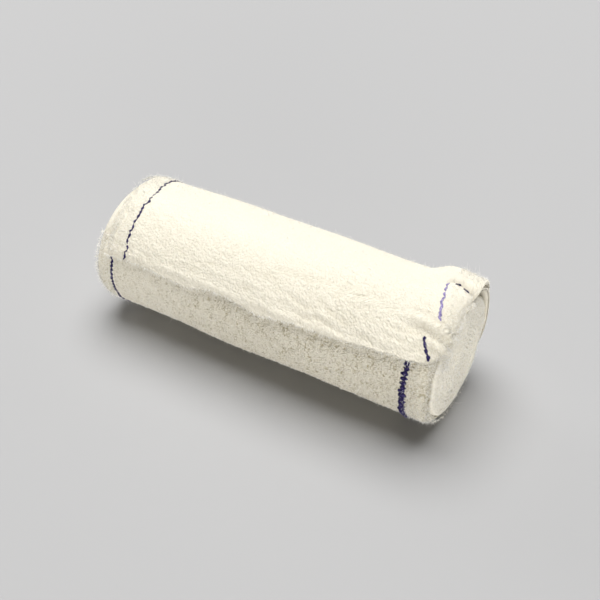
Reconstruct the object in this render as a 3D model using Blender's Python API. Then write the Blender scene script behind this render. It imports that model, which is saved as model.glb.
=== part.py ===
"""A crepe bandage, wound into a roll, with its loose end lying over the top.

The roll lies along X and stands on Z = 0. The front, where the cut edge of the loose end shows,
faces -Y. An angle goes round the X axis from the back (0) over the top (90) to the front (180).
"""

import bpy
import numpy as np

# The cloth
SHEET_THICKNESS = 0.0012
SHEET_GAP = 0.0003
TURN_PITCH = SHEET_THICKNESS + SHEET_GAP

# The wound body: the middle and half size of its section, and how much the flat spot cuts off
MIDDLE_Y = -0.00035
HALF_DEPTH = 0.0194
HALF_HEIGHT = 0.0176
FLAT_SPOT_CUT = 0.0003
BODY_LEFT = -0.0504
BODY_RIGHT = 0.0492
CORNER_RADIUS = 0.0046

# Its ends: how far the middle lies in, and the shallow spiral of the turns, with the shares of the
# way out from the middle where the spiral begins and ends, and where the rings leave the even shape
END_CROWN = 0.0006
END_TURNS = 3.5
SPIRAL_DEPTH = 0.00045
SPIRAL_FROM = (0.05, 0.3)
SPIRAL_TO = (1.0, 0.8)
EVEN_UNTIL = 0.7

# Slow waves of a hand-wound roll: strength, turns of phase along X in radians a metre, lobes round
# the roll, phase. They fade out within this many degrees of the bottom
SOFTNESS = 0.00018
WAVES = (
    (1.0, 95.0, 2.0, 0.6),
    (0.7, 170.0, -3.0, 2.0),
)
BOTTOM_ANGLE = 270.0
BOTTOM_SPREAD = 25.0

# The loose end: from its cut edge on the front, over the top, to where it leaves the body
ROOT_ANGLE = -25.0
ROOT_STEP = 0.4
ROOT_CLEARANCE = 1.2
MEAN_CUT_ANGLE = 156.0
MEAN_TURN = 0.35
LOOSE_LEFT = -0.0460
LOOSE_BEND_START = BODY_RIGHT - CORNER_RADIUS
FOLDED_STRIP = 0.0084
COLLAR_STRIP = 0.0036
COLLAR_STARTS = 104.0
COLLAR_FULL = 78.0
COLLAR_LIFT = 0.0022
COLLAR_LIFT_ANGLE = 42.0
COLLAR_LIFT_SPREAD = 26.0
COLLAR_LIFT_FROM = (0.0355, 0.041)
COLLAR_RIM = (0.041, 0.049)
COLLAR_RIM_DROP = 0.55
CUT_EDGE_REACH = 0.010

# The ridge that runs over the corner in front, from its lower end to its upper one
RIDGE_HEIGHT = 0.0010
RIDGE_WIDTH = 0.0021
RIDGE_LOWER = (118.0, 0.0415)
RIDGE_UPPER = (104.0, 0.049)
RIDGE_FADES_LOW = (139.0, 124.0)
RIDGE_FADES_HIGH = (92.0, 106.0)

# Where the cut edge runs: x along the roll in mm, and its angle in degrees
CUT_EDGE = (
    (-46.0, 158.0),
    (-34.0, 156.5),
    (-20.0, 159.0),
    (-11.0, 155.0),
    (1.5, 159.0),
    (15.0, 155.0),
    (29.0, 152.7),
    (42.0, 149.0),
    (56.0, 146.0),
)

# How finely the surfaces are cut
COLUMNS = 66
BODY_RINGS = 13
CORNER_RINGS = 5
END_RINGS = 13
SHEET_COLUMNS = 38
SHEET_RINGS = 15
BEND_RINGS = 7

SHARP_EDGE = 50.0

CREAM = (0.86, 0.82, 0.71, 1.0)
CREAM_LIGHT = (0.92, 0.88, 0.78, 1.0)


def smooth(value, low, high):
    """Rise from 0 at low to 1 at high, level at both ends; low may be the larger."""
    part = np.clip((value - low) / (high - low), 0.0, 1.0)
    return part * part * (3.0 - 2.0 * part)


def cut_angle(x):
    """Angle of the loose end's cut edge at x."""
    places, angles = np.array(CUT_EDGE).T
    return np.interp(x * 1000.0, places, angles)


def turns_in(angle):
    """Share of a whole turn from the cut edge back to this angle, from 0 to 1."""
    return ((MEAN_CUT_ANGLE - angle) / 360.0) % 1.0


MIDDLE_HEIGHT = HALF_HEIGHT - FLAT_SPOT_CUT - TURN_PITCH * (turns_in(BOTTOM_ANGLE) - MEAN_TURN)


def unevenness(x, angle):
    """Soft swelling of a hand-wound roll, from a few slow waves, none where it lies flat."""
    turn = np.radians(angle)
    waves = 0.0
    for strength, along, lobes, phase in WAVES:
        waves = waves + strength * np.sin(x * along + lobes * turn + phase)
    return SOFTNESS * waves * (1.0 - np.exp(-(((angle - BOTTOM_ANGLE) / BOTTOM_SPREAD) ** 2)))


def on_section(x, angle, depth):
    """Points at this depth below the outer cloth, on the flattened round section."""
    turn = np.radians(angle)
    inset = depth - unevenness(x, angle)
    y = MIDDLE_Y + (HALF_DEPTH - inset) * np.cos(turn)
    z = MIDDLE_HEIGHT + (HALF_HEIGHT - inset) * np.sin(turn)
    return np.stack(np.broadcast_arrays(x, y, z), axis=-1)


def body_depth(angle, under_loose_end):
    """Depth of the wound body: the spiral's own, and a turn more under the loose end."""
    return TURN_PITCH * (turns_in(angle) - MEAN_TURN + under_loose_end)


def column_angles():
    """The angles of the body's columns, with a pair of them at the loose end's root."""
    angles = ROOT_ANGLE + np.arange(COLUMNS) * 360.0 / COLUMNS
    angles = np.append(angles, ROOT_ANGLE + 360.0 - ROOT_STEP)
    under = np.where(angles < MEAN_CUT_ANGLE, 1.0, 0.0)
    return angles, under


def quads_between(rings, columns):
    """Faces of a grid of rings that close on themselves."""
    ring, column = np.meshgrid(np.arange(rings - 1), np.arange(columns), indexing="ij")
    after = (column + 1) % columns
    corners = (ring * columns + column, ring * columns + after)
    corners += ((ring + 1) * columns + after, (ring + 1) * columns + column)
    return np.stack(corners, axis=-1).reshape(-1, 4)


def make_object(name, points, faces, material):
    mesh = bpy.data.meshes.new(name)
    mesh.from_pydata(points.tolist(), [], faces)
    mesh.validate()
    mesh.shade_smooth()
    mesh.set_sharp_from_angle(angle=np.radians(SHARP_EDGE))
    mesh.materials.append(material)
    made = bpy.data.objects.new(name, mesh)
    bpy.context.scene.collection.objects.link(made)
    return made


def cloth_material(name, color, roughness):
    material = bpy.data.materials.new(name)
    material.use_nodes = True
    shader = material.node_tree.nodes["Principled BSDF"]
    shader.inputs["Base Color"].default_value = color
    shader.inputs["Roughness"].default_value = roughness
    shader.inputs["Metallic"].default_value = 0.0
    return material


def spokes_to(x, angles, depth):
    """Spokes from the middle of the section to its outline, and their lengths."""
    spokes = on_section(np.full_like(angles, x), angles, depth)
    spokes -= np.array((x, MIDDLE_Y, MIDDLE_HEIGHT))
    return spokes, np.linalg.norm(spokes, axis=1)


def end_rings(side, end_x, angles, under):
    """Rings of one end, from the long side round the corner and in to the middle.

    The step at the loose end's root is left only at the rim: further in, the rings close evenly.
    """
    corner_x = end_x - side * CORNER_RADIUS
    middle = np.array((0.0, MIDDLE_Y, MIDDLE_HEIGHT))
    spokes, reach = spokes_to(corner_x, angles, body_depth(angles, under))
    even_reach = spokes_to(corner_x, angles, TURN_PITCH)[1]
    rings = []
    for bend in np.linspace(0.0, np.pi / 2.0, CORNER_RINGS + 1)[1:]:
        drawn_in = CORNER_RADIUS * (1.0 - np.cos(bend))
        ring = middle + spokes * ((reach - drawn_in) / reach)[:, None]
        ring[:, 0] = corner_x + side * CORNER_RADIUS * np.sin(bend)
        rings.append(ring)
    for share in np.linspace(1.0, 0.0, END_RINGS + 1)[1:-1]:
        outline = even_reach + (reach - even_reach) * smooth(share, EVEN_UNTIL, 1.0) - CORNER_RADIUS
        ring = middle + spokes * (share * outline / reach)[:, None]
        wave = np.cos(2.0 * np.pi * END_TURNS * share + side * np.radians(angles))
        fade = smooth(share, *SPIRAL_TO) * smooth(share, *SPIRAL_FROM)
        crown = END_CROWN * (1.0 - share**2)
        ring[:, 0] = end_x + side * (SPIRAL_DEPTH * wave * fade - crown)
        rings.append(ring)
    return rings


def make_roll():
    angles, under = column_angles()
    left = end_rings(-1.0, BODY_LEFT, angles, under)
    right = end_rings(1.0, BODY_RIGHT, angles, under)
    length = np.linspace(BODY_LEFT + CORNER_RADIUS, BODY_RIGHT - CORNER_RADIUS, BODY_RINGS)
    sides = [on_section(np.full_like(angles, x), angles, body_depth(angles, under)) for x in length]
    rings = np.array(left[::-1] + sides + right)
    rings[..., 2] = np.maximum(rings[..., 2], 0.0)
    pole_places = (BODY_LEFT + END_CROWN, BODY_RIGHT - END_CROWN)
    poles = np.array([(x, MIDDLE_Y, MIDDLE_HEIGHT) for x in pole_places])
    count, columns = rings.shape[:2]
    points = np.concatenate([rings.reshape(-1, 3), poles])
    here = np.arange(columns)
    after = (here + 1) % columns
    first = np.stack([after, here, np.full(columns, count * columns)], axis=-1)
    last = np.stack([here, after, np.full(columns, count * columns + 1)], axis=-1)
    last[:, :2] += (count - 1) * columns
    faces = quads_between(count, columns).tolist() + first.tolist() + last.tolist()
    return make_object("roll", points, faces, cloth_material("wound_crepe", CREAM, 0.95))


def loose_rings():
    """Places across the loose end: x on the long side, then the length past the bend."""
    flat = np.linspace(LOOSE_LEFT, LOOSE_BEND_START, SHEET_RINGS)
    past = np.linspace(0.0, 1.0, BEND_RINGS + 1)[1:]
    return np.append(flat, np.full(BEND_RINGS, LOOSE_BEND_START)), np.append(np.zeros(SHEET_RINGS), past)


def loose_middle(x, past, share):
    """Middle surface of the loose end. share runs from 0 at the cut edge to 1 at the root."""
    last_angle = ROOT_ANGLE + ROOT_CLEARANCE
    angle = cut_angle(x + past * CUT_EDGE_REACH) * (1.0 - share) + last_angle * share
    depth = TURN_PITCH * ((MEAN_CUT_ANGLE - angle) / 360.0 - MEAN_TURN) + SHEET_THICKNESS / 2.0
    collar = smooth(angle, COLLAR_STARTS, COLLAR_FULL)
    strip = FOLDED_STRIP + (COLLAR_STRIP - FOLDED_STRIP) * collar
    bend_radius = CORNER_RADIUS + SHEET_GAP + SHEET_THICKNESS / 2.0
    bend = strip * past / bend_radius * (1.0 - collar)
    straight = strip * past * collar**2
    outward = bend_radius * np.sin(bend) + straight
    reach = x + outward
    lift_shape = np.exp(-(((angle - COLLAR_LIFT_ANGLE) / COLLAR_LIFT_SPREAD) ** 2))
    lift_shape *= smooth(reach, *COLLAR_LIFT_FROM) * (1.0 - COLLAR_RIM_DROP * smooth(reach, *COLLAR_RIM))
    inward = bend_radius * (1.0 - np.cos(bend))
    left_drop = CORNER_RADIUS - np.sqrt(
        np.maximum(CORNER_RADIUS**2 - np.maximum(BODY_LEFT + CORNER_RADIUS - x, 0.0) ** 2, 0.0)
    )
    way_up = (angle - RIDGE_LOWER[0]) / (RIDGE_UPPER[0] - RIDGE_LOWER[0])
    ridge_place = RIDGE_LOWER[1] + (RIDGE_UPPER[1] - RIDGE_LOWER[1]) * way_up
    off_ridge = (x + strip * past - ridge_place) / RIDGE_WIDTH
    ridge = RIDGE_HEIGHT * np.exp(-(off_ridge**2))
    ridge *= smooth(angle, *RIDGE_FADES_LOW) * smooth(angle, *RIDGE_FADES_HIGH)
    middle = on_section(x, angle, depth + inward + left_drop - COLLAR_LIFT * lift_shape)
    turn = np.radians(angle)
    middle[..., 0] += outward + ridge * np.sin(bend)
    middle[..., 1] += ridge * np.cos(bend) * np.cos(turn)
    middle[..., 2] += ridge * np.cos(bend) * np.sin(turn)
    return middle


def make_loose_end():
    x, past = loose_rings()
    share = np.linspace(0.0, 1.0, SHEET_COLUMNS + 1)
    middle = loose_middle(x[:, None], past[:, None], share[None, :])
    along = np.gradient(middle, axis=0)
    around = np.gradient(middle, axis=1)
    normal = np.cross(around, along)
    normal /= np.linalg.norm(normal, axis=-1, keepdims=True)
    outer = middle + normal * SHEET_THICKNESS / 2.0
    inner = middle - normal * SHEET_THICKNESS / 2.0
    rows, columns = middle.shape[:2]
    points = np.concatenate([outer.reshape(-1, 3), inner.reshape(-1, 3)])
    row, column = np.meshgrid(np.arange(rows - 1), np.arange(columns - 1), indexing="ij")
    corner = (row * columns + column).ravel()
    top = np.stack([corner, corner + 1, corner + columns + 1, corner + columns], axis=-1)
    under = top[:, ::-1] + rows * columns
    rim = np.concatenate([
        np.arange(columns - 1),
        np.arange(rows - 1) * columns + columns - 1,
        (rows - 1) * columns + np.arange(columns - 1, 0, -1),
        np.arange(rows - 1, 0, -1) * columns,
    ])
    after = np.roll(rim, -1)
    edge = np.stack([after, rim, rim + rows * columns, after + rows * columns], axis=-1)
    faces = np.concatenate([top, under, edge]).tolist()
    return make_object("loose_end", points, faces, cloth_material("loose_crepe", CREAM_LIGHT, 0.93))


for old in list(bpy.data.objects):
    bpy.data.objects.remove(old)

roll = make_roll()
loose_end = make_loose_end()
for piece in (roll, loose_end):
    corners = np.array([vertex.co[:] for vertex in piece.data.vertices])
    print(piece.name, "from", corners.min(axis=0), "to", corners.max(axis=0))
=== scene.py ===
# %% [markdown]
# A crepe bandage is one long strip of cream cotton, woven with hard twisted warp yarns that
# shrink it into fine crinkles. It is wound into a soft roll, and here its loose end lies over the
# top with the cut edge showing in front. We rebuild only the looks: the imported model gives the
# size and the place of every part, and each cloth piece is laid on it as a surface worked out
# from two parameters, how far the cloth is wound and how far across the cloth a point lies.

import bpy
import numpy as np
from mathutils import Matrix, Vector


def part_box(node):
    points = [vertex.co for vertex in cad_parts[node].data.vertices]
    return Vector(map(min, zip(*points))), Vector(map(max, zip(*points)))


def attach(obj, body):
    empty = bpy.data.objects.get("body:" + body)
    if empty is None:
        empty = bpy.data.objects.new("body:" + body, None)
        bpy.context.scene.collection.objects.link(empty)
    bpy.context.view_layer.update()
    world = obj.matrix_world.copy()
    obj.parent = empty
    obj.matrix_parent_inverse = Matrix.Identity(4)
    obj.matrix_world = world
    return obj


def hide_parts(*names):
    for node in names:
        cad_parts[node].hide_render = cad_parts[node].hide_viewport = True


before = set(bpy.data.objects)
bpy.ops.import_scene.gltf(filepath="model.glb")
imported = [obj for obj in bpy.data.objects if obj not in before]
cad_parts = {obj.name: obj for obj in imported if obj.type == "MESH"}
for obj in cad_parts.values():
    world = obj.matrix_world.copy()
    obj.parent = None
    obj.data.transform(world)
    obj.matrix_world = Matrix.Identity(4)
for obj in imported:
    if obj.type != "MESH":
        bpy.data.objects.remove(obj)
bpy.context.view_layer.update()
MM = 0.001
roll_low, roll_high = (np.array(corner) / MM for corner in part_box("roll"))
loose_low, loose_high = (np.array(corner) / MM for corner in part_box("loose_end"))
print("wound roll, mm:", roll_low.round(2), roll_high.round(2))
print("loose end, mm:", loose_low.round(2), loose_high.round(2))

# %% [markdown]
# Sizes of the cloth. An angle goes round the roll from the back (0) over the top (90) to the
# front (180). The cloth itself is followed by its wound angle, 0 at the cut edge and growing as
# the cloth runs over the top, down the back, under the roll and up the front again. All sizes in
# this file are millimetres until a mesh is made.

# %% Sizes of the roll and the cloth
MIDDLE_Y = -0.35
HALF_DEPTH = 19.4
HALF_HEIGHT = 17.6
FLAT_SPOT_CUT = 0.3
CLOTH_THICKNESS = 1.2
TURN_PITCH = 1.5
MEAN_TURN = 0.35
CLOTH_WIDTH = 100.0
YARN_INSET = 7.0
YARN_RIGHT = CLOTH_WIDTH - YARN_INSET
CUT_ANGLE = 156.0
ROOT_WOUND = 181.0
SEEN_WOUND = 407.0
UNDERLAP_WOUND = 545.0
END_LEFT = roll_low[0] + 0.22
END_RIGHT = roll_high[0] - 0.22
CORNER = 4.6
MEAN_RADIUS = (HALF_DEPTH + HALF_HEIGHT) / 2.0
FLOOR_CLEARANCE = 0.02


def turns_in(angle):
    """Share of a turn from the cut edge back to this angle."""
    return ((CUT_ANGLE - angle) / 360.0) % 1.0


MIDDLE_HEIGHT = HALF_HEIGHT - FLAT_SPOT_CUT - TURN_PITCH * (turns_in(270.0) - MEAN_TURN)
print("length of one outer turn, mm:", round(2.0 * np.pi * MEAN_RADIUS, 1))

# %% [markdown]
# Crepe is uneven at every scale, so we need a noise that gives the same values each run. A small
# table of random numbers is laid out as a lattice, and a point between four of its knots gets
# their blend. Stretching the lattice along one direction makes crinkles instead of grains.


# %% Noise and easing
def smooth(value, low, high):
    """Rise from 0 at low to 1 at high, level at both ends; low may be the larger."""
    part = np.clip((value - low) / (high - low), 0.0, 1.0)
    return part * part * (3.0 - 2.0 * part)


def lattice_noise(a, b, seed):
    """Noise from -1 to 1: the four nearest knots of a random lattice, blended smoothly."""
    table = np.random.default_rng(seed).uniform(-1.0, 1.0, (256, 256))
    a, b = np.broadcast_arrays(a, b)
    low_a, low_b = np.floor(a).astype(int), np.floor(b).astype(int)
    part_a, part_b = a - low_a, b - low_b
    part_a = part_a * part_a * (3.0 - 2.0 * part_a)
    part_b = part_b * part_b * (3.0 - 2.0 * part_b)
    row, column = low_a % 256, low_b % 256
    next_row, next_column = (row + 1) % 256, (column + 1) % 256
    near = table[row, column] * (1.0 - part_b) + table[row, next_column] * part_b
    far = table[next_row, column] * (1.0 - part_b) + table[next_row, next_column] * part_b
    return near * (1.0 - part_a) + far * part_a


def layered_noise(a, b, seed, layers=3):
    """Sum of noises, each twice as fine and half as strong as the one before."""
    total = sum(lattice_noise(a * 2.0**k, b * 2.0**k, seed + k) / 2.0**k for k in range(layers))
    return total / (2.0 - 2.0 ** (1 - layers))


# %% [markdown]
# The section of the roll is a slightly flattened circle with a flat spot where it rests. The same
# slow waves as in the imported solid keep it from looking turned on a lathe. Depth is counted from
# the outside inwards and grows by one pitch for each turn, which is what makes a spiral.


# %% The section of the roll
def unevenness(x, angle):
    """Soft swelling of a hand-wound roll, from a few slow waves, none where it lies flat."""
    turn = np.radians(angle)
    waves = np.sin(x * 0.095 + 2.0 * turn + 0.6) + 0.7 * np.sin(x * 0.17 - 3.0 * turn + 2.0)
    off_floor = 1.0 - np.exp(-((((angle - 270.0 + 180.0) % 360.0 - 180.0) / 25.0) ** 2))
    return 0.18 * waves * off_floor


def on_section(x, angle, depth):
    """Points at this depth under the outside, on the flattened round section."""
    turn = np.radians(angle)
    inset = depth - unevenness(x, angle)
    y = MIDDLE_Y + (HALF_DEPTH - inset) * np.cos(turn)
    z = MIDDLE_HEIGHT + (HALF_HEIGHT - inset) * np.sin(turn)
    return np.stack(np.broadcast_arrays(x, y, z), axis=-1)


def round_corner(flat_x, side, start, radius, fold):
    """Carry a flat place across the cloth round the roll's corner: an arc, then a straight run.

    Gives the place along the roll and the way in towards the axis. With fold 0 the cloth runs
    straight out, with fold 1 it follows the corner down on to the end.
    """
    past = np.maximum(side * (flat_x - start), 0.0)
    curve = np.maximum(fold, 1e-4) / radius
    bend = np.minimum(curve * past, np.radians(86.0))
    rest = past - bend / curve
    along = np.sin(bend) / curve + rest * np.cos(bend)
    inward = (1.0 - np.cos(bend)) / curve + rest * np.sin(bend)
    return np.where(past > 0.0, start + side * along, flat_x), inward


# %% [markdown]
# Where the cloth lies across the roll. The two marker yarns are the best guide: the loose end has
# slipped 4 mm to the right in front and comes back into line behind. Each table has the roll's
# angle in its first column and the yarn's place along the roll in its second.

# %% Places of the marker yarns along the roll
LEFT_YARN_LOOSE = (
    (-25, -42.6), (20, -42.8), (50, -42.6), (70, -41.6), (90, -40.0), (105, -39.4), (130, -38.8),
    (160, -38.1),
)
RIGHT_YARN_LOOSE = (
    (-25, 41.2), (15, 41.1), (40, 41.9), (60, 42.6), (78, 43.2), (92, 43.7), (105, 44.7),
    (117, 45.9), (123, 43.8), (130, 44.2), (138, 45.7), (150, 47.6), (160, 48.0),
)
LEFT_YARN_WRAP = ((-251, -43.0), (-190, -43.2), (-90, -43.6), (-25, -42.6))
RIGHT_YARN_WRAP = ((-251, 42.3), (-200, 42.6), (-180, 42.8), (-130, 42.2), (-70, 42.4), (-25, 41.2))
CUT_EDGE = (
    (-46, 158.5), (-39, 157.3), (-34, 156.7), (-19, 159.9), (-12, 154.6), (-4, 156.6), (1.5, 159.6),
    (7, 157.2), (12, 155.0), (22, 154.7), (29, 152.7), (35, 151.2), (40, 150.3), (44, 149.0),
    (47.5, 147.0), (54, 130.0),
)


def read_table(table, value):
    """Second column of a table of pairs at this value of the first."""
    first, second = np.array(table, float).T
    return np.interp(value, first, second)


def flat_place(wound, across):
    """Place along the roll of a point across the cloth, before the corner is turned."""
    angle = CUT_ANGLE - wound
    loose = wound <= ROOT_WOUND
    left = np.where(loose, read_table(LEFT_YARN_LOOSE, angle), read_table(LEFT_YARN_WRAP, angle))
    right = np.where(loose, read_table(RIGHT_YARN_LOOSE, angle), read_table(RIGHT_YARN_WRAP, angle))
    share = (across - YARN_INSET) / (CLOTH_WIDTH - 2.0 * YARN_INSET)
    inside = left + (right - left) * share
    place = np.where(across < YARN_INSET, left + across - YARN_INSET, inside)
    return np.where(across > YARN_RIGHT, right + across - YARN_RIGHT, place)


# %% [markdown]
# The cloth's middle surface. Its right strip folds down over the end in front, and stands out as a
# collar at the top and behind. One wrinkle runs from the front over the corner. Folded strip and
# collar are two formulas of wound angle and place across. At the pleat between them the surface
# passes from one to the other, a small wall of cloth that starts under the lip of the folded strip.


# %% The middle surface of the outer cloth
PLEAT_ANGLE = 71.0
PLEAT_WIDTH = 7.0
LIP_ANGLE = 82.0


def loose_angle(wound):
    """Angle round the roll; the covered end of the outer turn counts as the loose end over it."""
    return CUT_ANGLE - np.where(wound > SEEN_WOUND, wound - 360.0, wound)


def folded(wound):
    """1 where the right strip is folded down over the end, 0 where it is a collar."""
    return smooth(loose_angle(wound), PLEAT_ANGLE - PLEAT_WIDTH, PLEAT_ANGLE + PLEAT_WIDTH)


def collar_fold(wound):
    """The collar goes down over the end again where it reaches the back."""
    return smooth(loose_angle(wound), 2.0, -45.0)


def corner_radius(wound):
    """Radius of the cloth's corner at the right end: full at the loose end, tighter underneath."""
    angle = CUT_ANGLE - wound
    under = 2.7 * smooth(angle, -25.0, -50.0) * smooth(angle, -160.0, -110.0) + 1.5 * smooth(angle, -110.0, -160.0)
    return np.where(wound <= ROOT_WOUND, CORNER + 0.9, CORNER + 0.9 - under)


def pleat_valley(angle, flat_x):
    """1 along the bottom of the small valley between the folded strip's lip and the collar."""
    beside_lip = smooth(angle, LIP_ANGLE + 0.4, LIP_ANGLE - 1.2)
    return beside_lip * smooth(angle, LIP_ANGLE - 13.0, LIP_ANGLE - 4.0) * smooth(flat_x, 42.0, 44.0)


def collar_lift(angle, flat_x):
    """How far the collar swells out, along the back of the top, a little less at its rim."""
    swelling = 2.1 * np.exp(-(((angle - 46.0) / 27.0) ** 2)) * smooth(flat_x, 34.5, 40.5)
    return swelling * (1.0 - 0.42 * smooth(flat_x, 41.0, 48.5))


def bumps(angle, flat_x):
    """Lift of the loose end above the plain wound surface, in mm, as a sum of soft bumps.

    The collar is a swelling along the back of the top, and the lip is the edge of the folded strip
    beside it. The wrinkle runs over the corner, with a hollow in front and a small ridge below.
    """
    lip = smooth(angle, LIP_ANGLE - 1.2, LIP_ANGLE + 0.8) * smooth(angle, LIP_ANGLE + 13.0, LIP_ANGLE + 2.0)
    lip *= 0.9 * smooth(flat_x, 42.0, 44.5)
    valley = -1.2 * pleat_valley(angle, flat_x)
    wrinkle_angle = 119.5 + 7.0 * smooth(flat_x, 45.0, 53.0)
    wrinkle = 1.15 * np.exp(-(((angle - wrinkle_angle) / 3.4) ** 2)) * smooth(flat_x, 35.0, 43.5)
    hollow = -0.45 * np.exp(-(((angle - wrinkle_angle - 6.5) / 4.0) ** 2))
    hollow *= smooth(flat_x, 37.0, 42.0) * smooth(flat_x, 49.0, 45.0)
    second = 0.6 * np.exp(-(((angle - 131.0 - 0.8 * (flat_x - 46.0)) / 2.6) ** 2))
    second *= smooth(flat_x, 45.5, 49.0)
    return collar_lift(angle, flat_x) + lip + valley + wrinkle + hollow + second


def cloth_middle(wound, across):
    """Middle surface of the outer cloth at a wound angle in degrees and a place across in mm."""
    wound, across = np.broadcast_arrays(np.asarray(wound, float), np.asarray(across, float))
    flat_x = flat_place(wound, across)
    radius = corner_radius(wound)
    right_start = END_RIGHT + CLOTH_THICKNESS / 4.0 - radius
    angle = CUT_ANGLE - wound
    depth = TURN_PITCH * (wound / 360.0 - MEAN_TURN) + CLOTH_THICKNESS / 2.0
    in_bumps = (wound <= ROOT_WOUND) | (wound > SEEN_WOUND)
    lift = np.where(in_bumps, bumps(loose_angle(wound), flat_x), 0.0)
    slack = 0.6 + 0.4 * lattice_noise(flat_x / 9.0, 0.5, 71)
    lift = lift + 0.55 * slack * smooth(wound, 9.0, 1.5)
    left_x, left_in = round_corner(flat_x, -1.0, END_LEFT + CORNER, CORNER, np.ones_like(flat_x))
    surfaces = []
    for fold in (np.ones_like(wound), collar_fold(wound)):
        right_x, right_in = round_corner(flat_x, 1.0, right_start, radius, fold)
        surface = on_section(np.where(flat_x > 0.0, right_x, left_x), angle, depth + right_in + left_in)
        bend = np.minimum(np.maximum(flat_x - right_start, 0.0) / radius, 1.5) * fold
        turn = np.radians(angle)
        surface[..., 0] += lift * np.sin(bend)
        surface[..., 1] += lift * np.cos(bend) * np.cos(turn)
        surface[..., 2] += lift * np.cos(bend) * np.sin(turn)
        surfaces.append(surface)
    share = folded(wound)[..., None]
    return surfaces[0] * share + surfaces[1] * (1.0 - share)


# %% [markdown]
# Crepe relief. The hard twisted yarns draw the cloth into ridges that run across it, along the
# roll, about a millimetre apart and a few millimetres long. Under them lies a finer grain. Near
# the cut edge on the right the tension is gone and the ridges grow into loose puckers. Where a
# wound turn is held tight, as on the lower front, the grain runs round the roll instead.


# %% Relief of the crepe
def coarseness(wound, across):
    """How open the crepe lies: low where it is drawn over the top, 1 at the cut edge and in front."""
    angle = CUT_ANGLE - wound
    loose = 0.30 + 0.70 * smooth(angle, 92.0, 132.0)
    loose = loose + 0.25 * smooth(across, 40.0, 85.0) * smooth(angle, 80.0, 110.0)
    wrap = 0.30 + (0.35 + 0.35 * smooth(across, 15.0, 45.0)) * smooth(wound, 170.0, 250.0)
    wrap = wrap * (1.0 - 0.7 * smooth(wound, 370.0, 390.0))
    return np.clip(np.where(wound < 150.0, loose, wrap), 0.0, 1.0)


def crepe_relief(wound, across):
    """Height of the crinkles in mm, from stretched noises, and how deep in a hollow a point is."""
    along = np.radians(wound) * MEAN_RADIUS
    wander = 0.8 * lattice_noise(along / 4.0, across / 5.0, 3)
    crinkles = layered_noise(along / 0.80 + wander, across / 3.4, 11, 2)
    knots = lattice_noise(along / 0.62, across / 0.66, 17)
    columns = lattice_noise(along / 2.6, across / 0.75 + 0.5 * wander, 23)
    coarse = coarseness(wound, across)
    tight = smooth(wound, ROOT_WOUND, 300.0)
    slack = smooth(wound, 62.0, 16.0) * (0.25 + 0.75 * smooth(across, 30.0, 72.0))
    puckers = lattice_noise(along / 1.15 + 1.2 * wander, across / 5.5, 31)
    height = coarse * ((0.10 - 0.05 * tight) * crinkles + (0.08 + 0.08 * tight) * knots)
    height = height + 0.08 * tight * coarse * columns + 0.26 * slack * puckers
    # Painted shade: the second value marks the crinkles' hollows and the pleat's valley to be painted darker,
    # where shade falls.
    shaded = pleat_valley(CUT_ANGLE - wound, flat_place(wound, across)) * (wound <= ROOT_WOUND)
    return height, np.maximum(0.4 * smooth(height, 0.03, -0.18) * coarse, shaded)


# %% [markdown]
# A sheet is built as a closed shell: the middle surface is pushed out and in along its normals by
# half the thickness, the outer side also by the relief, and the two sides meet in a rounded rim.
# The cloth's own coordinates go into a UV map, in centimetres, and the painted shade of the hollows into
# an attribute, so that the material can follow the weave wherever the cloth goes.


# %% Sheets from a grid
def grid_normals(points):
    """Unit normals of a grid of points, from the cross product of its two directions."""
    normals = np.cross(np.gradient(points, axis=0), np.gradient(points, axis=1))
    return normals / np.linalg.norm(normals, axis=-1, keepdims=True)


def grid_faces(rows, columns):
    row, column = np.meshgrid(np.arange(rows - 1), np.arange(columns - 1), indexing="ij")
    corner = (row * columns + column).ravel()
    return np.stack([corner, corner + columns, corner + columns + 1, corner + 1], axis=-1)


def grid_rim(rows, columns):
    """The border of a grid, once round it, as point numbers."""
    return np.concatenate([
        np.arange(columns - 1),
        np.arange(rows - 1) * columns + columns - 1,
        (rows - 1) * columns + np.arange(columns - 1, 0, -1),
        np.arange(rows - 1, 0, -1) * columns,
    ])


def new_piece(name, points, faces, uv=None, attributes=()):
    """Mesh object at the origin from points in mm, with a UV map and float attributes by point."""
    mesh = bpy.data.meshes.new(name)
    mesh.from_pydata((points * MM).tolist(), [], faces.tolist())
    mesh.shade_smooth()
    if uv is not None:
        corner_points = np.empty(len(mesh.loops), np.int32)
        mesh.loops.foreach_get("vertex_index", corner_points)
        layer = mesh.uv_layers.new(name="cloth")
        layer.data.foreach_set("uv", uv[corner_points].astype(np.float32).ravel())
    for label, values in attributes:
        made = mesh.attributes.new(label, "FLOAT", "POINT")
        made.data.foreach_set("value", values.astype(np.float32).ravel())
    piece = bpy.data.objects.new(name, mesh)
    bpy.context.scene.collection.objects.link(piece)
    return piece


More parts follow.
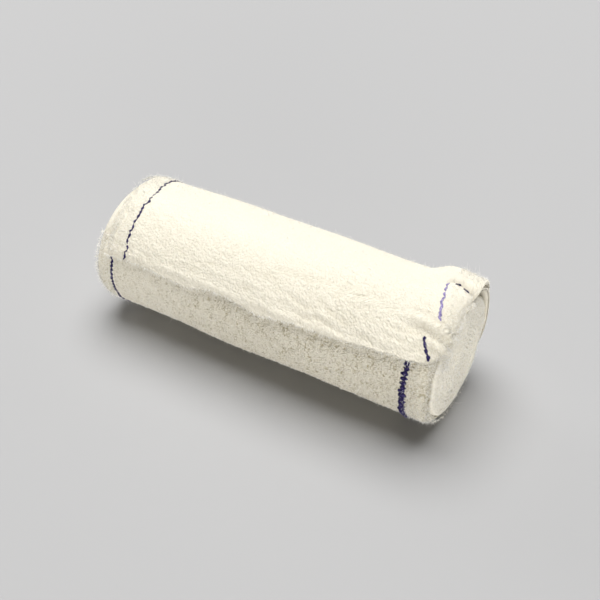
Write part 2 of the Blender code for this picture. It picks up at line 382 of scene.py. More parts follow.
def sheet_sides(wound, across):
    """Outer and inner side of the cloth on a grid, with its hollows."""
    middle = cloth_middle(wound, across)
    normals = -grid_normals(middle)
    # hollow is painted shade: how much darker the material paints the crinkles' hollows and the pleat's valley.
    height, hollow = crepe_relief(wound, across)
    rows, columns = middle.shape[:2]
    row_way = np.linalg.norm(np.diff(middle, axis=0), axis=-1).cumsum(axis=0)
    column_way = np.linalg.norm(np.diff(middle, axis=1), axis=-1).cumsum(axis=1)
    row_way = np.concatenate([np.zeros((1, columns)), row_way])
    column_way = np.concatenate([np.zeros((rows, 1)), column_way], axis=1)
    selvedge = np.minimum(column_way, column_way[:, -1:] - column_way)
    cut = row_way if wound[0, 0] < ROOT_WOUND else row_way[-1:] - row_way
    edge = np.minimum(cut, selvedge)
    rounded = np.sqrt(1.0 - (1.0 - np.clip(edge / 0.35, 0.0, 1.0)) ** 2)
    half = CLOTH_THICKNESS / 2.0 * (0.5 + 0.5 * rounded) * (1.0 - 0.55 * smooth(wound, 5.0, 0.5))
    on_end = np.where(across > CLOTH_WIDTH / 2.0, np.maximum(folded(wound), collar_fold(wound)), 1.0)
    pressed = 0.75 * on_end * smooth(selvedge, 2.6, 0.2) * CLOTH_THICKNESS
    outer = middle + normals * (half - pressed + height * (0.4 + 0.6 * rounded))[..., None]
    inner = middle - normals * (half - 0.3 * height * rounded)[..., None]
    outer[..., 2] = np.maximum(outer[..., 2], FLOOR_CLEARANCE)
    return outer, inner, hollow


def make_sheet(name, wound, across):
    wound, across = np.broadcast_arrays(wound, across)
    outer, inner, hollow = sheet_sides(wound, across)
    rows, columns = outer.shape[:2]
    top = grid_faces(rows, columns)[:, ::-1]
    under = top[:, ::-1] + rows * columns
    rim = grid_rim(rows, columns)
    after = np.roll(rim, -1)
    edge = np.stack([rim, after, after + rows * columns, rim + rows * columns], axis=-1)
    points = np.concatenate([outer.reshape(-1, 3), inner.reshape(-1, 3)])
    along = np.radians(wound) * MEAN_RADIUS
    uv = np.stack([across, along], axis=-1).reshape(-1, 2) / 10.0
    coarse = coarseness(wound, across)
    # The hollow attribute carries the painted shade to the material.
    piece = new_piece(name, points, np.concatenate([top, under, edge]), np.concatenate([uv, uv]),
                      [("hollow", np.concatenate([hollow.ravel(), hollow.ravel()])),
                       ("coarse", np.concatenate([coarse.ravel(), coarse.ravel()]))])
    print(name, "has", 2 * len(piece.data.polygons), "triangles")
    return piece


# %% [markdown]
# The loose end. Its grid starts at the cut edge, whose wound angle wanders along the roll, and is
# finest in front, where the crinkles are seen best. A little raggedness of a fifth of a
# millimetre keeps the cut from looking like a ruled line.

# %% The loose end
LOOSE_ROWS = 196
SHEET_COLUMNS = 240


def cut_start(across):
    """Wound angle of the cut edge across the cloth."""
    angle = read_table(CUT_EDGE, across - 46.0)
    ragged = 0.7 * lattice_noise(across / 1.1, 0.5, 41) + 0.5 * lattice_noise(across / 0.45, 0.5, 43)
    return CUT_ANGLE - angle + ragged


def loose_grid():
    """Rows closest together at the pleat, close in front and wider at the back, by summed density."""
    fine = np.linspace(0.0, ROOT_WOUND, 2000)
    lip = np.exp(-(((fine - CUT_ANGLE + LIP_ANGLE) / 3.5) ** 2))
    density = 1.0 + 0.6 * smooth(fine, 110.0, 60.0) + 6.0 * lip + 2.5 * smooth(fine, 3.0, 0.0)
    total = np.cumsum(density)
    rows = np.interp(np.linspace(total[0], total[-1], LOOSE_ROWS), total, fine)[:, None]
    across = np.linspace(0.0, CLOTH_WIDTH, SHEET_COLUMNS)[None, :]
    return rows + cut_start(across) * smooth(rows, 60.0, 0.0), across


loose_cloth = make_sheet("loose_end_cloth", *loose_grid())

# %% [markdown]
# The outer turn under it is the same cloth, one turn further in. It starts where the loose end
# leaves off behind, so both share the same formula and meet without a step, and it ends under
# the loose end, out of sight.

# %% The outer turn
WRAP_ROWS = 168
HIDDEN_ROWS = 34


def wrap_grid():
    """Rows close together where the turn is in view, wide apart where the loose end covers it."""
    share = np.linspace(0.0, 1.0, WRAP_ROWS)
    seen = ROOT_WOUND + 0.05 + (SEEN_WOUND - ROOT_WOUND) * (1.25 * share - 0.25 * share**2)
    hidden = np.linspace(SEEN_WOUND, UNDERLAP_WOUND, HIDDEN_ROWS + 1)[1:]
    across = np.linspace(0.0, CLOTH_WIDTH, SHEET_COLUMNS)[None, :]
    return np.concatenate([seen, hidden])[:, None], across


outer_turn = make_sheet("outer_turn", *wrap_grid())

# %% [markdown]
# The turns further in show only at the two ends, as thin cloth edges that spiral to the middle.
# One closed body stands for them: its sides are hidden, and its ends are a fine grid whose height
# is a rounded wave of radius minus angle, which is a spiral. Slow waves let some turns stand
# prouder than others, as they do when a roll is pushed together by hand.

# %% The inner turns
END_PITCH = 1.15
CORE_COLUMNS = 260
END_RINGS = 104
CORNER_RINGS = 14
SIDE_RINGS = 16
END_BULGE = 0.8
LEVEL_LIFT = 0.45
CORE_COLUMN_ANGLES = np.linspace(0.0, 360.0, CORE_COLUMNS, endpoint=False)


def core_depth(angle):
    """Depth of the turn just under the outer cloth, a spiral that steps under the loose end."""
    wound = (CUT_ANGLE - angle - UNDERLAP_WOUND) % 360.0 + UNDERLAP_WOUND
    return TURN_PITCH * (wound / 360.0 - MEAN_TURN) + 0.12


def covering_wound():
    """Wound angle of the cloth that lies right on the core, for each column of the core."""
    wound = (CUT_ANGLE - CORE_COLUMN_ANGLES) % 360.0
    return np.where(wound < UNDERLAP_WOUND - 360.0, wound + 360.0, wound)


def core_corner(side):
    """Radius of the core's corner, a little tighter than the corner of the cloth that covers it."""
    if side < 0.0:
        return np.full(CORE_COLUMNS, CORNER - 0.9)
    wound = covering_wound()
    covered = np.maximum(folded(wound), collar_fold(wound))
    return (corner_radius(wound) - 1.3) * covered + 1.2 * (1.0 - covered)


def rim_bend(side):
    """How far round the corner the cloth that covers the core reaches, as an angle of the corner."""
    wound = covering_wound()
    if side < 0.0:
        return (END_LEFT + CORNER - flat_place(wound, 0.0)) / CORNER
    radius = corner_radius(wound)
    past = flat_place(wound, CLOTH_WIDTH) - (END_RIGHT + CLOTH_THICKNESS / 4.0 - radius)
    return past / radius * np.maximum(folded(wound), collar_fold(wound))


def core_end(side, end_x):
    """Rings from the long side round the corner and in to the middle of one end.

    Inside the covering cloth's edge the turns stand out until they are level with it.
    """
    angle = CORE_COLUMN_ANGLES
    corner = core_corner(side)
    start = end_x - side * (corner + 0.5)
    skin = on_section(start, angle, core_depth(angle))
    centre = np.array([0.0, MIDDLE_Y, MIDDLE_HEIGHT])
    spokes = skin - centre
    spokes[:, 0] = 0.0
    reach = np.linalg.norm(spokes, axis=1)
    if side > 0.0:
        reach = reach + collar_lift(angle, 47.0)
    even = np.linalg.norm(on_section(start, angle, 2.2)[:, 1:] - centre[1:], axis=1)
    bend = np.linspace(0.0, np.pi / 2.0, CORNER_RINGS + 1)[1:, None]
    share = np.linspace(1.0, 0.0, END_RINGS + 1)[1:-1, None]
    even = even + (reach - even) * smooth(share, 0.8, 1.0)
    covered = np.clip(rim_bend(side), 0.3, 1.35)
    covered = sum(np.roll(covered, shift) for shift in range(-5, 6)) / 11.0
    level = LEVEL_LIFT * smooth(bend, covered - 0.02, covered + 0.22)
    round_part = reach - corner * (1.0 - np.cos(bend)) + level * np.cos(bend)
    radius = np.concatenate([round_part, share * (even - corner)])
    flat_part = corner + LEVEL_LIFT * np.ones_like(share)
    out = np.concatenate([corner * np.sin(bend) + level * np.sin(bend), flat_part])
    out = out + END_BULGE * np.maximum(1.0 - (radius / 15.5) ** 2, 0.0)
    y = centre[1] + spokes[:, 1] / reach * radius
    z = centre[2] + spokes[:, 2] / reach * radius
    pressed = 0.55 * lattice_noise(y / 5.5, z / 5.5, 57) + 0.20 * lattice_noise(y / 2.0, z / 2.0, 58)
    turn_number = (radius + pressed) / END_PITCH + side * angle / 360.0
    strand = angle / 360.0 - side * np.floor(turn_number)
    between = np.abs(np.sin(np.pi * turn_number))
    proud = 0.40 * lattice_noise(strand * 3.1, 0.5, 53) + 0.25 * lattice_noise(strand * 9.7, 0.5, 54)
    matted = 0.20 * layered_noise(y / 1.1, z / 1.1, 59, 3) + 0.25 * lattice_noise(y / 4.5, z / 4.5, 61)
    shown = smooth(lattice_noise(y / 5.0, z / 5.0, 63), -0.5, 0.5)
    uncovered = np.concatenate([smooth(bend, covered, 1.5), np.ones((len(share), CORE_COLUMNS))])
    settle = smooth(radius, 0.4, 2.5) * uncovered
    settle = settle * (0.45 + 0.55 * smooth(radius, 14.0, 10.0))
    relief = (0.30 * (between**0.6 - 0.8) * (0.35 + 0.65 * shown) + 0.5 * proud * between**0.6 + matted) * settle
    x = start + side * (out + relief)
    # Painted shade: the grooves between the turns are marked to be painted darker.
    hollow = 0.4 * smooth(between, 0.5, 0.05) * (0.3 + 0.7 * shown) * settle
    return np.stack([x, y, z], axis=-1), hollow, np.stack([y, z], axis=-1) / 10.0


def make_inner_turns():
    left, left_hollow, left_uv = core_end(-1.0, END_LEFT)
    right, right_hollow, right_uv = core_end(1.0, END_RIGHT)
    angle = CORE_COLUMN_ANGLES
    left_start = END_LEFT + core_corner(-1.0) + 0.5
    right_start = END_RIGHT - core_corner(1.0) - 0.5
    length = left_start + (right_start - left_start) * np.linspace(0.0, 1.0, SIDE_RINGS)[:, None]
    sides = on_section(length, angle, core_depth(angle))
    side_uv = np.stack(np.broadcast_arrays(length / 10.0, angle / 30.0), axis=-1)
    rings = np.concatenate([left[::-1], sides, right])
    hollow = np.concatenate([left_hollow[::-1], np.zeros(sides.shape[:2]), right_hollow])
    uv = np.concatenate([left_uv[::-1], side_uv, right_uv])
    rings[..., 2] = np.maximum(rings[..., 2], CLOTH_THICKNESS)
    count, columns = rings.shape[:2]
    here = np.arange(count * columns).reshape(count, columns)
    after = np.roll(here, -1, axis=1)
    sides = np.stack([here[:-1], after[:-1], after[1:], here[1:]], axis=-1).reshape(-1, 4)
    poles = np.array([rings[0].mean(axis=0), rings[-1].mean(axis=0)])
    first = np.stack([after[0], here[0], np.full(columns, count * columns)], axis=-1)
    last = np.stack([here[-1], after[-1], np.full(columns, count * columns + 1)], axis=-1)
    points = np.concatenate([rings.reshape(-1, 3), poles])
    uv = np.concatenate([uv.reshape(-1, 2), np.zeros((2, 2))])
    # The two poles get half of the painted shade.
    hollow = np.append(hollow.ravel(), [0.5, 0.5])
    mesh = bpy.data.meshes.new("inner_turns")
    mesh.from_pydata((points * MM).tolist(), [], sides.tolist() + first.tolist() + last.tolist())
    mesh.shade_smooth()
    corner_points = np.empty(len(mesh.loops), np.int32)
    mesh.loops.foreach_get("vertex_index", corner_points)
    mesh.uv_layers.new(name="cloth").data.foreach_set("uv", uv[corner_points].astype(np.float32).ravel())
    mesh.attributes.new("hollow", "FLOAT", "POINT").data.foreach_set("value", hollow.astype(np.float32))
    open_weave = np.full(len(points), 0.45, np.float32)
    mesh.attributes.new("coarse", "FLOAT", "POINT").data.foreach_set("value", open_weave)
    piece = bpy.data.objects.new("inner_turns", mesh)
    bpy.context.scene.collection.objects.link(piece)
    print("inner_turns has", 2 * len(sides) + 2 * columns, "triangles")
    return piece


inner_turns = make_inner_turns()

# %% [markdown]
# The marker yarns. An indigo two-ply yarn is woven in 7 mm from each selvedge. It dips under and
# over the cross yarns and the crepe pulls it about, so it reads as a beaded, slightly jagged
# line. It is a profile carried along a path: a rounded section with two lobes that turn as the
# plies twist, swelling where the yarn lies on top and shrinking where it dives into the cloth.


# %% Marker yarns
YARN_SIDES = 10
YARN_STEP = 0.14
BEAD_PITCH = 1.35


def outer_surface(wound, across):
    """Points on the outside of the cloth along a line, with the outward normal and the way along."""
    step = 0.05
    middle = cloth_middle(wound, across)
    forward = cloth_middle(wound + step, across) - middle
    sideways = cloth_middle(wound, across + step) - middle
    normal = np.cross(sideways, forward)
    normal /= np.linalg.norm(normal, axis=-1, keepdims=True)
    forward /= np.linalg.norm(forward, axis=-1, keepdims=True)
    height = crepe_relief(wound, across)[0]
    return middle + normal * (CLOTH_THICKNESS / 2.0 + height)[:, None], normal, forward


def make_yarn(name, start, end, across, radius, seed, wave=0.8):
    """Two-ply yarn laid on the cloth from one wound angle and place across to others."""
    length = np.hypot(np.radians(end - start) * MEAN_RADIUS, across[1] - across[0])
    count = int(length / YARN_STEP)
    way = np.arange(count) * YARN_STEP
    wound = np.linspace(start, end, count) + wave * lattice_noise(way / 0.8, 0.5, seed + 5)
    beat = np.sin(np.pi * way / BEAD_PITCH + 0.9 * lattice_noise(way / 3.0, 0.5, seed))
    jitter = (0.50 - 0.45 * radius) * lattice_noise(way / 0.8, 0.5, seed + 1)
    jitter = jitter + 0.16 * lattice_noise(way / 0.33, 0.5, seed + 2)
    place = np.linspace(across[0], across[1], count) + jitter + 0.10 * beat
    path, normal, forward = outer_surface(wound, place)
    lift = 0.10 * np.abs(beat) - 0.10 + 0.10 * lattice_noise(way / 1.9, 0.5, seed + 3)
    swell = radius * (0.66 + 0.40 * np.abs(beat) + 0.26 * lattice_noise(way / 0.6, 0.5, seed + 4))
    ends = np.minimum(way, way[-1] - way)
    swell = swell * smooth(ends, -0.1, 0.5)
    sideways = np.cross(forward, normal)
    round_angle = np.linspace(0.0, 2.0 * np.pi, YARN_SIDES, endpoint=False)
    plies = 1.0 + 0.22 * np.cos(2.0 * (round_angle[None, :] - 2.0 * np.pi * way[:, None] / 2.6))
    across_part = (np.cos(round_angle) * swell[:, None] * plies)[..., None]
    up_part = (np.sin(round_angle) * 0.62 * swell[:, None] * plies + lift[:, None])[..., None]
    rings = path[:, None] + sideways[:, None] * across_part + normal[:, None] * up_part
    rings[..., 2] = np.maximum(rings[..., 2], FLOOR_CLEARANCE)
    here = np.arange(count * YARN_SIDES).reshape(count, YARN_SIDES)
    after = np.roll(here, -1, axis=1)
    sides = np.stack([here[:-1], here[1:], after[1:], after[:-1]], axis=-1).reshape(-1, 4)
    points = np.concatenate([rings.reshape(-1, 3), path[[0, -1]]])
    low, high = count * YARN_SIDES, count * YARN_SIDES + 1
    first = np.stack([after[0], np.full(YARN_SIDES, low), here[0]], axis=-1)
    last = np.stack([here[-1], np.full(YARN_SIDES, high), after[-1]], axis=-1)
    mesh = bpy.data.meshes.new(name)
    mesh.from_pydata((points * MM).tolist(), [], sides.tolist() + first.tolist() + last.tolist())
    mesh.shade_smooth()
    uv = np.stack(np.broadcast_arrays(round_angle / 6.0, way[:, None] / 10.0), axis=-1)
    uv = np.concatenate([uv.reshape(-1, 2), np.zeros((2, 2))])
    corner_points = np.empty(len(mesh.loops), np.int32)
    mesh.loops.foreach_get("vertex_index", corner_points)
    mesh.uv_layers.new(name="cloth").data.foreach_set("uv", uv[corner_points].astype(np.float32).ravel())
    piece = bpy.data.objects.new(name, mesh)
    bpy.context.scene.collection.objects.link(piece)
    return piece


LEFT_LINE = (YARN_INSET, YARN_INSET)
RIGHT_LINE = (YARN_RIGHT, YARN_RIGHT)
veiled_yarns = [
    make_yarn("yarn_loose_right", CUT_ANGLE - 116.5, CUT_ANGLE - 78.0, RIGHT_LINE, 0.35, 116),
    make_yarn("yarn_loose_back", CUT_ANGLE - 44.0, ROOT_WOUND, RIGHT_LINE, 0.33, 151),
]
dark_yarns = [
    make_yarn("yarn_loose_left", cut_start(YARN_INSET) + 0.6, ROOT_WOUND, LEFT_LINE, 0.30, 101),
    make_yarn("yarn_loose_front", cut_start(YARN_RIGHT) + 0.4, CUT_ANGLE - 130.0, RIGHT_LINE, 0.46, 111),
    make_yarn("yarn_wrap_left", ROOT_WOUND, SEEN_WOUND - 20.0, LEFT_LINE, 0.36, 121),
    make_yarn("yarn_wrap_right", ROOT_WOUND, SEEN_WOUND - 20.0, RIGHT_LINE, 0.74, 131),
    make_yarn("yarn_in_pleat", CUT_ANGLE - 82.0, CUT_ANGLE - 83.0, (YARN_RIGHT - 0.2, 96.9), 0.50, 141, 1.7),
]
yarns = veiled_yarns + dark_yarns
print("yarns:", [len(piece.data.polygons) for piece in yarns])

# %% [markdown]
# Cotton fuzz. Thousands of fibre ends stand up from the cloth, and they are what makes its outline
# soft. Each fibre is a three-sided tube in two steps that bends and tapers to a point. All of them
# are worked out as one array: roots spread over the cloth, a direction made of the normal and a
# random lean, and a length.


# %% Fibres
def make_fibres(name, roots, directions, lengths, radii, sag, seed):
    """Joined mesh of bent, tapering three-sided fibres."""
    random = np.random.default_rng(seed)
    count = len(roots)
    directions = directions / np.linalg.norm(directions, axis=1, keepdims=True)
    helper = random.normal(size=(count, 3))
    side_a = np.cross(directions, helper)
    side_a /= np.linalg.norm(side_a, axis=1, keepdims=True)
    side_b = np.cross(directions, side_a)
    curl = side_a * (random.normal(size=(count, 1)) * 0.35) + side_b * (random.normal(size=(count, 1)) * 0.35)
    curl[:, 2] -= sag
    steps = np.array([0.0, 0.5, 1.0])
    spine = (roots[:, None] + directions[:, None] * (lengths[:, None] * steps)[..., None]
             + curl[:, None] * (lengths[:, None] * steps**2)[..., None])
    turn = np.radians([0.0, 120.0, 240.0])
    ring = side_a[:, None] * np.cos(turn)[:, None] + side_b[:, None] * np.sin(turn)[:, None]
    ring = ring * radii[:, None, None]
    base = spine[:, 0, None] + ring
    waist = spine[:, 1, None] + ring * 0.75
    points = np.concatenate([base, waist, spine[:, 2:3]], axis=1).reshape(-1, 3)
    points[:, 2] = np.maximum(points[:, 2], FLOOR_CLEARANCE)
    one = np.array([[0, 1, 4], [0, 4, 3], [1, 2, 5], [1, 5, 4], [2, 0, 3], [2, 3, 5],
                    [3, 4, 6], [4, 5, 6], [5, 3, 6], [2, 1, 0]])
    faces = (one[None] + 7 * np.arange(count)[:, None, None]).reshape(-1, 3)
    return new_piece(name, points, faces)


def hairs_and_tufts(random, count):
    """Lengths and radii: two thirds short thick tufts, one third long fine hairs."""
    tuft = random.random(count) < 0.67
    lengths = np.where(tuft, random.uniform(0.2, 0.6, count), random.gamma(3.0, 0.17, count) + 0.2)
    return lengths, np.where(tuft, 0.065, 0.030)


def spread_fibres(name, count, low, high, seed):
    """Fibres spread over a stretch of the cloth between two wound angles, a third at its margins."""
    random = np.random.default_rng(seed)
    wound = random.uniform(low, high, count)
    margin = random.uniform(0.2, 7.0, count)
    at_margin = np.where(random.random(count) < 0.5, margin, CLOTH_WIDTH - margin)
    across = np.where(random.random(count) < 0.33, at_margin, random.uniform(0.4, 99.6, count))
    roots, normal, forward = outer_surface(wound, across)
    lean = random.normal(size=(count, 3)) * 0.75
    lengths, radii = hairs_and_tufts(random, count)
    lengths = lengths * np.where((across < YARN_INSET) | (across > YARN_RIGHT), 1.35, 1.0)
    return make_fibres(name, roots - normal * 0.06, normal + lean, lengths, radii, 0.0, seed + 1)


def make_end_fuzz():
    """Fibres on both ends of the inner turns."""
    random = np.random.default_rng(221)
    count = 2200
    roots, ways = [], []
    for side, end_x in ((-1.0, END_LEFT), (1.0, END_RIGHT)):
        points = core_end(side, end_x)[0][CORNER_RINGS - 3:-2].reshape(-1, 3)
        reach = np.linalg.norm(points[:, 1:] - [MIDDLE_Y, MIDDLE_HEIGHT], axis=1)
        picked = random.choice(len(points), count, p=reach / reach.sum())
        roots.append(points[picked] - [side * 0.05, 0.0, 0.0])
        ways.append(np.array([side, 0.0, 0.0]) + random.normal(size=(count, 3)) * 0.9)
    lengths, radii = hairs_and_tufts(random, 2 * count)
    return make_fibres("fuzz_ends", np.concatenate(roots), np.concatenate(ways), lengths, radii, 0.0, 222)


def make_cut_fray():
    """Ends of the warp yarns along the cut edge, hanging down the front."""
    random = np.random.default_rng(301)
    count = 1100
    across = random.uniform(0.2, 99.8, count)
    start = cut_start(across)
    roots, normal, forward = outer_surface(start + random.uniform(0.2, 1.6, count), across)
    roots = roots - normal * random.uniform(0.1, 0.9, (count, 1))
    sideways = np.cross(forward, normal)
    way = -forward + normal * random.normal(0.15, 0.35, (count, 1))
    way = way + sideways * random.normal(0.0, 0.5, (count, 1))
    lengths = random.gamma(3.0, 0.20, count) + 0.2
    return make_fibres("cut_edge_fray", roots, way, lengths, np.full(count, 0.045), 0.1, 302)


fuzz = [
    spread_fibres("fuzz_loose", 13000, 2.0, ROOT_WOUND, 201),
    spread_fibres("fuzz_turn", 13000, ROOT_WOUND, 375.0, 211),
    make_end_fuzz(),
    make_cut_fray(),
]
print("fibre triangles:", sum(len(piece.data.polygons) for piece in fuzz))

# %% [markdown]
# Cotton crepe. The colour is a warm cream; painted shade makes it more olive in the hollows, so the ridges
# stay lighter. The cloth's UV map carries two things: a fine grain of the weave as bump, and small dark pits
# where the crinkles leave a gap, which are painted shade. Sheen gives the fibres' soft rim.


# %% Materials
def link(tree, source, target):
    tree.links.new(source, target)


def value_node(tree, operation, first, second, clamp=False):
    """Math node on two sockets or plain numbers; gives its output socket."""
    node = tree.nodes.new("ShaderNodeMath")
    node.operation = operation
    node.use_clamp = clamp
    for socket, source in zip(node.inputs, (first, second)):
        if isinstance(source, (int, float)):
            socket.default_value = source
        else:
            link(tree, source, socket)
    return node.outputs[0]


def ramp_node(tree, source, start, end, low=0.0, high=1.0):
    """Straight ramp of a value between two others, clamped; gives its output socket."""
    node = tree.nodes.new("ShaderNodeMapRange")
    node.inputs["From Min"].default_value = start
    node.inputs["From Max"].default_value = end
    node.inputs["To Min"].default_value = low
    node.inputs["To Max"].default_value = high
    link(tree, source, node.inputs["Value"])
    return node.outputs["Result"]


def texture_node(tree, kind, scale, vector, detail=None):
    node = tree.nodes.new(kind)
    node.inputs["Scale"].default_value = scale
    if detail is not None:
        node.inputs["Detail"].default_value = detail
    link(tree, vector, node.inputs["Vector"])
    return node


def crepe_material(name, light, dark, knot_scale, gaps, grain, in_columns):
    """Cream cotton: rounded knots of crimped yarn with darker gaps between them.

    A cell pattern gives the knots and a cloud pattern thins it out. The dark gaps are painted shade:
    where the cloth lies open they are wide and dark; where it is drawn tight only a few are left. A
    long-drawn noise gathers the gaps into columns, and a few lone specks lie anywhere. The hollow
    attribute adds more painted shade, in the hollows, the pleat's valley and between the turns.
    """
    material = bpy.data.materials.new(name)
    material.use_nodes = True
    tree = material.node_tree
    shader = tree.nodes["Principled BSDF"]
    shader.inputs["Roughness"].default_value = 0.95
    shader.inputs["Specular IOR Level"].default_value = 0.15
    shader.inputs["Sheen Weight"].default_value = 0.15
    shader.inputs["Sheen Roughness"].default_value = 0.7
    uv = tree.nodes.new("ShaderNodeUVMap")
    uv.uv_map = "cloth"
    place = uv.outputs["UV"]
    hollow = tree.nodes.new("ShaderNodeAttribute")
    hollow.attribute_name = "hollow"
    coarse = tree.nodes.new("ShaderNodeAttribute")
    coarse.attribute_name = "coarse"
    bend = texture_node(tree, "ShaderNodeTexNoise", 11.0, place, 3.0)
    shift = tree.nodes.new("ShaderNodeVectorMath")
    shift.operation = "MULTIPLY_ADD"
    shift.inputs[1].default_value = (0.022, 0.022, 0.0)
    link(tree, bend.outputs["Color"], shift.inputs[0])
    link(tree, place, shift.inputs[2])
    knots = texture_node(tree, "ShaderNodeTexVoronoi", knot_scale, shift.outputs["Vector"])
    fine = texture_node(tree, "ShaderNodeTexNoise", 34.0, place, 3.0)
    fine.inputs["Roughness"].default_value = 0.7
    cloud = texture_node(tree, "ShaderNodeTexNoise", 4.5, place, 3.0)
    drawn_out = tree.nodes.new("ShaderNodeMapping")
    drawn_out.inputs["Scale"].default_value = (1.0, 0.22, 1.0)
    link(tree, place, drawn_out.inputs["Vector"])
    column = texture_node(tree, "ShaderNodeTexNoise", 13.0, drawn_out.outputs["Vector"], 1.0)
    lone = texture_node(tree, "ShaderNodeTexVoronoi", 1.5, place)
    pits = texture_node(tree, "ShaderNodeTexVoronoi", knot_scale * 0.6, place)
    # The gaps between the knots are painted darker: painted shade.
    gap = ramp_node(tree, knots.outputs["Distance"], 0.44, 0.68)
    some = ramp_node(tree, cloud.outputs["Fac"], 0.36, 0.62, 0.35, 1.0)
    lined = ramp_node(tree, column.outputs["Fac"], 0.40, 0.60, 1.0 - in_columns, 1.0 + 0.5 * in_columns)
    gap = value_node(tree, "MULTIPLY", gap, 0.8)
    gap = value_node(tree, "ADD", gap, ramp_node(tree, pits.outputs["Distance"], 0.33, 0.17))
    gap = value_node(tree, "MULTIPLY", gap, some)
    gap = value_node(tree, "MULTIPLY", gap, lined)
    gap = value_node(tree, "MULTIPLY", gap, coarse.outputs["Fac"])
    dust = ramp_node(tree, fine.outputs["Fac"], 0.58, 0.36, 0.0, grain)
    dust = value_node(tree, "MULTIPLY", dust, coarse.outputs["Fac"])
    speck = ramp_node(tree, lone.outputs["Distance"], 0.045, 0.020, 0.0, 0.45)
    darkness = value_node(tree, "MULTIPLY", gap, gaps)
    darkness = value_node(tree, "ADD", darkness, dust)
    darkness = value_node(tree, "ADD", darkness, speck)
    # Painted shade from the hollow attribute: darker in the hollows, the pleat's valley and the grooves between
    # the turns.
    deep = value_node(tree, "MULTIPLY", hollow.outputs["Fac"], 0.34)
    darkness = value_node(tree, "ADD", darkness, deep, clamp=True)
    mix = tree.nodes.new("ShaderNodeMix")
    mix.data_type = "RGBA"
    mix.inputs["A"].default_value = light
    mix.inputs["B"].default_value = dark
    link(tree, darkness, mix.inputs["Factor"])
    link(tree, mix.outputs["Result"], shader.inputs["Base Color"])
    height = value_node(tree, "MULTIPLY", knots.outputs["Distance"], -1.0)
    height = value_node(tree, "MULTIPLY", height, coarse.outputs["Fac"])
    rough = value_node(tree, "MULTIPLY", fine.outputs["Fac"], 0.7)
    height = value_node(tree, "ADD", height, rough)
    bump = tree.nodes.new("ShaderNodeBump")
    bump.inputs["Strength"].default_value = 1.0
    bump.inputs["Distance"].default_value = BUMP_DEPTH
    link(tree, height, bump.inputs["Height"])
    link(tree, bump.outputs["Normal"], shader.inputs["Normal"])
    return material


def yarn_material(name, dark, light, start, end):
    """Indigo yarn with paler, more violet fibres on its ridges, in patches."""
    material = bpy.data.materials.new(name)
    material.use_nodes = True
    tree = material.node_tree
    shader = tree.nodes["Principled BSDF"]
    shader.inputs["Roughness"].default_value = 0.85
    shader.inputs["Specular IOR Level"].default_value = 0.1
    uv = tree.nodes.new("ShaderNodeUVMap")
    uv.uv_map = "cloth"
    noise = texture_node(tree, "ShaderNodeTexNoise", 14.0, uv.outputs["UV"], 3.0)
    ramp = tree.nodes.new("ShaderNodeValToRGB")
    ramp.color_ramp.elements[0].position = start
    ramp.color_ramp.elements[0].color = dark
    ramp.color_ramp.elements[1].position = end
    ramp.color_ramp.elements[1].color = light
    link(tree, noise.outputs["Fac"], ramp.inputs["Fac"])
    link(tree, ramp.outputs["Color"], shader.inputs["Base Color"])
    return material


def fibre_material():
    """Loose cotton fibres, a little translucent and off-white."""
    material = bpy.data.materials.new("cotton_fibre")
    material.use_nodes = True
    tree = material.node_tree
    shader = tree.nodes["Principled BSDF"]
    shader.inputs["Roughness"].default_value = 0.7
    shader.inputs["Sheen Weight"].default_value = 0.4
    coordinates = tree.nodes.new("ShaderNodeTexCoord")
    noise = tree.nodes.new("ShaderNodeTexNoise")
    noise.inputs["Scale"].default_value = 400.0
    link(tree, coordinates.outputs["Object"], noise.inputs["Vector"])
    mix = tree.nodes.new("ShaderNodeMix")
    mix.data_type = "RGBA"
    mix.inputs["A"].default_value = (0.88, 0.85, 0.77, 1.0)
    mix.inputs["B"].default_value = (0.95, 0.93, 0.87, 1.0)
    link(tree, noise.outputs["Fac"], mix.inputs["Factor"])
    link(tree, mix.outputs["Result"], shader.inputs["Base Color"])
    return material


BUMP_DEPTH = 0.00035
CREAM = (0.84, 0.79, 0.665, 1.0)
# The ends' cream is lighter than the cloth's: painted light for the brightness the roll's ends get.
PAINTED_LIGHT_CREAM = (0.94, 0.89, 0.76, 1.0)
# OLIVE is the colour of the painted shade in the gaps and hollows, and also of the grain and the lone specks.
OLIVE = (0.42, 0.36, 0.22, 1.0)
INDIGO = (0.014, 0.011, 0.045, 1.0)
VIOLET = (0.13, 0.10, 0.29, 1.0)
LAVENDER = (0.42, 0.36, 0.62, 1.0)
loose_crepe = crepe_material("loose_crepe", CREAM, OLIVE, 17.0, 0.20, 0.18, 0.0)
wound_crepe = crepe_material("wound_crepe", CREAM, OLIVE, 21.0, 0.76, 0.32, 0.6)
end_crepe = crepe_material("end_crepe", PAINTED_LIGHT_CREAM, OLIVE, 15.0, 0.45, 0.25, 0.0)
indigo = yarn_material("indigo_yarn", INDIGO, VIOLET, 0.48, 0.82)
veiled = yarn_material("veiled_yarn", (0.05, 0.04, 0.13, 1.0), LAVENDER, 0.36, 0.60)
cotton = fibre_material()
loose_cloth.data.materials.append(loose_crepe)
outer_turn.data.materials.append(wound_crepe)
inner_turns.data.materials.append(end_crepe)
for piece in dark_yarns:
    piece.data.materials.append(indigo)
for piece in veiled_yarns:
    piece.data.materials.append(veiled)
for piece in fuzz:
    piece.data.materials.append(cotton)

# %% [markdown]
# Tell the frame what each piece rides on, and hide the plain solids that the cloth stands in for.

# %% Places in the frame
for piece in [loose_cloth, outer_turn, inner_turns] + yarns + fuzz:
    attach(piece, "root")
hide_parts("loose_end")
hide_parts("roll")

# %% [markdown]
# The floor is a wide pale disc. Far out it turns into an even glow of the same grey, so that low
# views show no dark horizon.


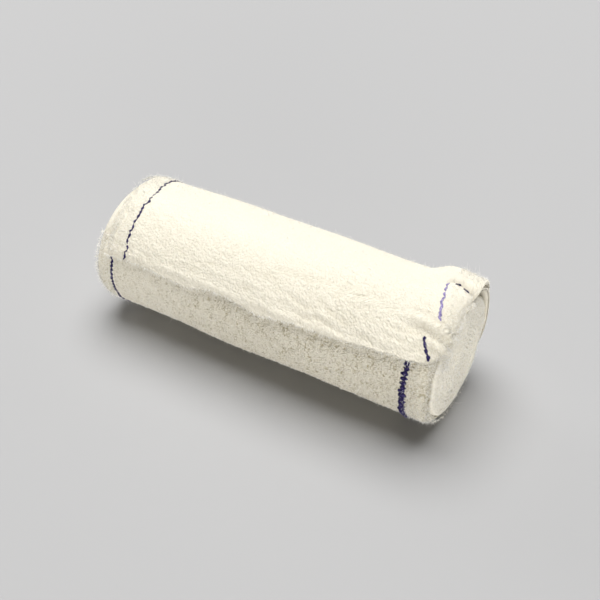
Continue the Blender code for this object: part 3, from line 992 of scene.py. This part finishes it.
# %% Floor
def make_floor():
    rim = np.linspace(0.0, 2.0 * np.pi, 96, endpoint=False)
    points = np.stack([np.cos(rim), np.sin(rim), np.zeros_like(rim)], axis=-1) * 6000.0
    floor = new_piece("floor", points, np.arange(96)[None, :])
    material = bpy.data.materials.new("floor_grey")
    material.use_nodes = True
    tree = material.node_tree
    shader = tree.nodes["Principled BSDF"]
    shader.inputs["Base Color"].default_value = (0.41, 0.408, 0.408, 1.0)
    shader.inputs["Roughness"].default_value = 0.9
    shader.inputs["Specular IOR Level"].default_value = 0.0
    glow = tree.nodes.new("ShaderNodeEmission")
    glow.inputs["Color"].default_value = BACKDROP_GREY
    coordinates = tree.nodes.new("ShaderNodeTexCoord")
    distance = tree.nodes.new("ShaderNodeVectorMath")
    distance.operation = "LENGTH"
    link(tree, coordinates.outputs["Object"], distance.inputs[0])
    far = ramp_node(tree, distance.outputs["Value"], 0.35, 1.6)
    blend = tree.nodes.new("ShaderNodeMixShader")
    link(tree, far, blend.inputs["Fac"])
    link(tree, shader.outputs["BSDF"], blend.inputs[1])
    link(tree, glow.outputs["Emission"], blend.inputs[2])
    link(tree, blend.outputs["Shader"], tree.nodes["Material Output"].inputs["Surface"])
    floor.data.materials.append(material)
    return floor


BACKDROP_GREY = (0.66, 0.66, 0.66, 1.0)
floor = make_floor()

# %% [markdown]
# Light and camera. A large soft lamp stands above, behind and to the right, so the top and the
# near end are bright, the front is in soft shade and the shadow falls forward to the left. The
# world lifts the shade. The camera stands 25 cm away and looks down at 41 degrees.


# %% Lights and camera
def soft_lamp(name, place, target, wide, high, watts):
    lamp = bpy.data.lights.new(name, "AREA")
    lamp.shape = "ELLIPSE"
    lamp.size = wide
    lamp.size_y = high
    lamp.energy = watts
    holder = bpy.data.objects.new(name, lamp)
    holder.location = place
    holder.rotation_euler = (Vector(target) - Vector(place)).to_track_quat("-Z", "Y").to_euler()
    bpy.context.scene.collection.objects.link(holder)
    return holder


soft_lamp("key", (-0.45, 0.62, 2.85), (0.0, 0.0, 0.0), 2.9, 2.9, 149.0)
soft_lamp("left", (-1.9, 0.6, 0.7), (-0.05, 0.0, 0.02), 0.9, 0.5, 7.0)
soft_lamp("fill", (1.15, -1.65, 0.13), (0.0, 0.0, 0.02), 1.6, 0.3, 32.0)
world = bpy.data.worlds.new("studio")
world.use_nodes = True
sky = world.node_tree
backdrop = sky.nodes.new("ShaderNodeBackground")
backdrop.inputs["Color"].default_value = BACKDROP_GREY
sky.nodes["Background"].inputs["Color"].default_value = (1.0, 1.0, 1.0, 1.0)
sky.nodes["Background"].inputs["Strength"].default_value = 0.07
seen = sky.nodes.new("ShaderNodeLightPath")
either = sky.nodes.new("ShaderNodeMixShader")
link(sky, seen.outputs["Is Camera Ray"], either.inputs["Fac"])
link(sky, sky.nodes["Background"].outputs["Background"], either.inputs[1])
link(sky, backdrop.outputs["Background"], either.inputs[2])
link(sky, either.outputs["Shader"], sky.nodes["World Output"].inputs["Surface"])
bpy.context.scene.world = world
bpy.context.scene.view_settings.view_transform = "Standard"

PHOTO_SIZE = 600
FOCAL_PIXELS = 952.6
SENSOR = 36.0
CAMERA_PLACE = Vector((0.10268, -0.16788, 0.17107))
CAMERA_TARGET = Vector((0.00405, 0.0, 0.01543))
CAMERA_ROLL = np.radians(0.667)
camera_data = bpy.data.cameras.new("camera")
camera_data.sensor_width = SENSOR
camera_data.lens = FOCAL_PIXELS / PHOTO_SIZE * SENSOR
camera_data.clip_start = 0.01
camera = bpy.data.objects.new("camera", camera_data)
aim = (CAMERA_TARGET - CAMERA_PLACE).to_track_quat("-Z", "Y").to_matrix().to_4x4()
camera.matrix_world = Matrix.Translation(CAMERA_PLACE) @ aim @ Matrix.Rotation(CAMERA_ROLL, 4, "Z")
bpy.context.scene.collection.objects.link(camera)
bpy.context.scene.camera = camera

# %% Finish
bpy.context.view_layer.update()
